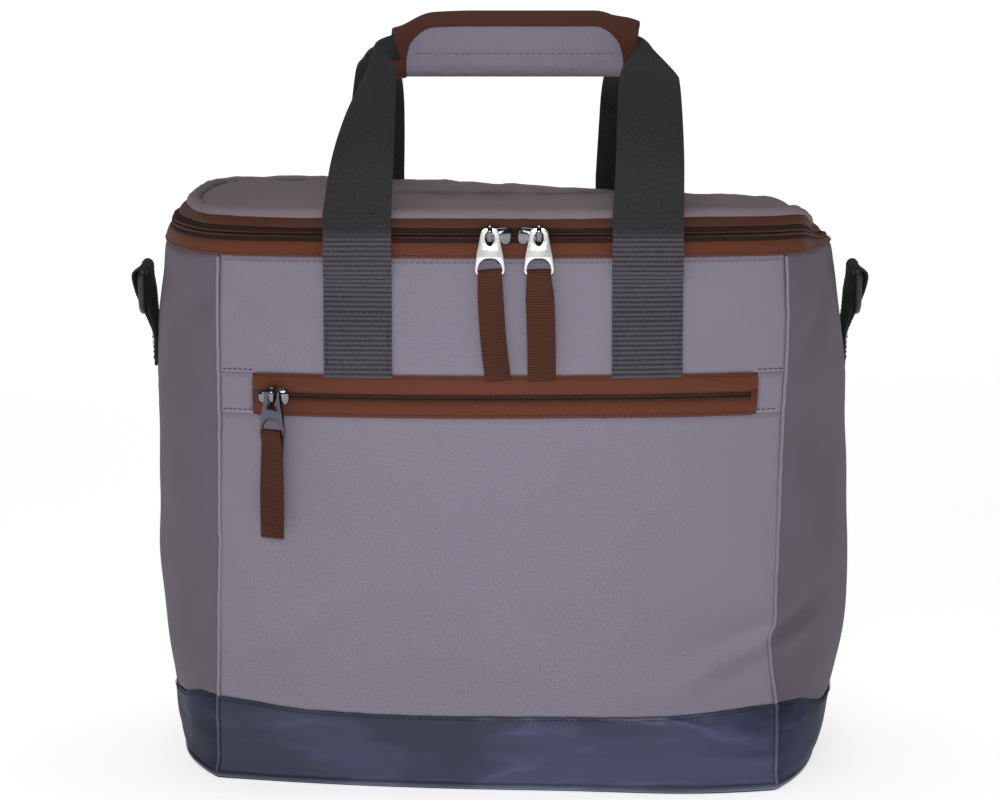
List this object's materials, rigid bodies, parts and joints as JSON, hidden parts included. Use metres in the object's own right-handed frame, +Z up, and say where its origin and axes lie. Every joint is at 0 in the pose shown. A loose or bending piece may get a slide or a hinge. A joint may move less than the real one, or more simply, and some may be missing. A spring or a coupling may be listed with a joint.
{
  "type": "insulated cooler bag",
  "caption": "Soft upright cooler bag with a zipped lid, zipped front pocket, coated base band, padded grip joining two webbing handles, side rings and a foil-lined foam tub.",
  "frame": {"origin": "centre of the base, on the surface that the bag stands on", "axes": "+Z up, -Y towards the front with the zipped pocket, +X towards the right-hand side as seen from the front"},
  "size_m": [0.4122, 0.218, 0.4249],
  "materials": {
    "grey_fabric": "matt woven polyester",
    "band_coating": "glossy coated cloth",
    "brown_tape": "matt woven tape",
    "brown_coil": "nylon coil",
    "webbing": "ribbed polypropylene webbing",
    "metal": "polished",
    "ring_plastic": "satin moulded",
    "foam": "closed-cell foam",
    "liner": "foil film",
    "board": "stiffening board",
    "base_cloth": "coated cloth",
    "piping": "covered cord",
    "fastener": "hook and loop",
    "liner_cloth": "plain woven lining"
  },
  "bodies": {
    "bag": {"base_panel": "base_cloth", "base_piping": "piping", "foam_base": "foam", "base_board": "board", "base_band": "band_coating", "pocket_panel": "grey_fabric", "front_upper_panel": "grey_fabric", "pocket_end_patches": "grey_fabric", "back_panel": "grey_fabric", "left_gusset": "grey_fabric", "right_gusset": "grey_fabric", "pocket_backing": "liner_cloth", "corner_piping": "piping", "foam_front": "foam", "foam_back": "foam", "foam_sides": "foam", "liner_tub": "liner", "rim_binding": "brown_tape", "lid_zip_tape_lower": "brown_tape", "lid_zip_coil_lower": "brown_coil", "hinge_cloth_lower": "grey_fabric", "pocket_zip_tapes": "brown_tape", "pocket_zip_coils": "brown_coil", "front_strap_stitched": "webbing", "back_strap_stitched": "webbing", "ring_tabs": "webbing"},
    "lid": {"lid_foam": "foam", "lid_border": "grey_fabric", "lid_top_panel": "grey_fabric", "lid_piping": "piping", "lid_liner": "liner", "lid_zip_tape_upper": "brown_tape", "lid_zip_coil_upper": "brown_coil", "hinge_cloth_upper": "grey_fabric"},
    "left_slider": {"left_slider": "metal"},
    "left_puller": {"left_puller": "metal"},
    "left_pull_tab": {"left_pull_tab": "brown_tape"},
    "right_slider": {"right_slider": "metal"},
    "right_puller": {"right_puller": "metal"},
    "right_pull_tab": {"right_pull_tab": "brown_tape"},
    "pocket_slider": {"pocket_slider": "metal"},
    "pocket_puller": {"pocket_puller": "metal"},
    "pocket_pull_tab": {"pocket_pull_tab": "brown_tape"},
    "front_straps": {"front_strap_legs": "webbing"},
    "front_handle": {"front_strap_ends": "webbing", "front_grip_cover": "grey_fabric", "front_grip_binding": "brown_tape", "front_grip_foam": "foam", "front_grip_webbing": "webbing", "front_grip_fastener": "fastener"},
    "back_straps": {"back_strap_legs": "webbing"},
    "back_handle": {"back_strap_ends": "webbing", "back_grip_cover": "grey_fabric", "back_grip_binding": "brown_tape", "back_grip_foam": "foam", "back_grip_webbing": "webbing", "back_grip_fastener": "fastener"},
    "left_ring": {"left_ring": "ring_plastic"},
    "right_ring": {"right_ring": "ring_plastic"}
  },
  "joints": [
    {"name": "lid_hinge", "type": "hinge", "parent": "bag", "child": "lid", "pos_m": [0, 0.1015, 0.3102], "axis": [-1, 0, 0], "range_deg": [0, 100]},
    {"name": "front_strap_fold", "type": "hinge", "parent": "bag", "child": "front_straps", "pos_m": [0, -0.1048, 0.293], "axis": [1, 0, 0], "range_deg": [0, 160]},
    {"name": "front_strap_bend", "type": "hinge", "parent": "front_straps", "child": "front_handle", "pos_m": [0, -0.101, 0.3505], "axis": [1, 0, 0], "range_deg": [0, 75]},
    {"name": "back_strap_fold", "type": "hinge", "parent": "bag", "child": "back_straps", "pos_m": [0, 0.1048, 0.293], "axis": [-1, 0, 0], "range_deg": [0, 160]},
    {"name": "back_strap_bend", "type": "hinge", "parent": "back_straps", "child": "back_handle", "pos_m": [0, 0.101, 0.3505], "axis": [-1, 0, 0], "range_deg": [0, 75]},
    {"name": "left_zip", "type": "hinge", "parent": "bag", "child": "left_slider", "pos_m": [0, 0.7527, 0.3102], "axis": [0, 0, -1], "range_deg": [0, 2.6]},
    {"name": "left_puller_swing", "type": "hinge", "parent": "left_slider", "child": "left_puller", "pos_m": [-0.00541, -0.10609, 0.3134], "axis": [-1, 0.0028, 0], "range_deg": [0, 130]},
    {"name": "left_tab_swing", "type": "hinge", "parent": "left_puller", "child": "left_pull_tab", "pos_m": [-0.00542, -0.10728, 0.29063], "axis": [-1, 0.0028, 0], "range_deg": [0, 70]},
    {"name": "right_zip", "type": "hinge", "parent": "bag", "child": "right_slider", "pos_m": [0, 0.7527, 0.3102], "axis": [0, 0, 1], "range_deg": [0, 1.7]},
    {"name": "right_puller_swing", "type": "hinge", "parent": "right_slider", "child": "right_puller", "pos_m": [0.0207, -0.10586, 0.3134], "axis": [-0.9998, -0.0206, 0], "range_deg": [0, 130]},
    {"name": "right_tab_swing", "type": "hinge", "parent": "right_puller", "child": "right_pull_tab", "pos_m": [0.02072, -0.10705, 0.29063], "axis": [-0.9998, -0.0206, 0], "range_deg": [0, 70]},
    {"name": "pocket_zip", "type": "hinge", "parent": "bag", "child": "pocket_slider", "pos_m": [0, 0.7483, 0.2225], "axis": [0, 0, 1], "range_deg": [0, 16.4]},
    {"name": "pocket_puller_swing", "type": "hinge", "parent": "pocket_slider", "child": "pocket_puller", "pos_m": [-0.12269, -0.10169, 0.2257], "axis": [-0.9897, 0.1429, 0], "range_deg": [0, 130]},
    {"name": "pocket_tab_swing", "type": "hinge", "parent": "pocket_puller", "child": "pocket_pull_tab", "pos_m": [-0.12286, -0.10287, 0.20293], "axis": [-0.9897, 0.1429, 0], "range_deg": [0, 70]},
    {"name": "left_ring_swing", "type": "hinge", "parent": "bag", "child": "left_ring", "pos_m": [-0.202, 0, 0.2785], "axis": [0, 1, 0], "range_deg": [0, 150]},
    {"name": "right_ring_swing", "type": "hinge", "parent": "bag", "child": "right_ring", "pos_m": [0.202, 0, 0.2785], "axis": [0, -1, 0], "range_deg": [0, 150]}
  ],
  "couplings": [
    {"joint": "front_strap_fold", "follows": "lid_hinge", "ratio": 1.6},
    {"joint": "front_strap_bend", "follows": "lid_hinge", "ratio": 0.75},
    {"joint": "back_strap_fold", "follows": "lid_hinge", "ratio": 1.6},
    {"joint": "back_strap_bend", "follows": "lid_hinge", "ratio": 0.75}
  ]
}
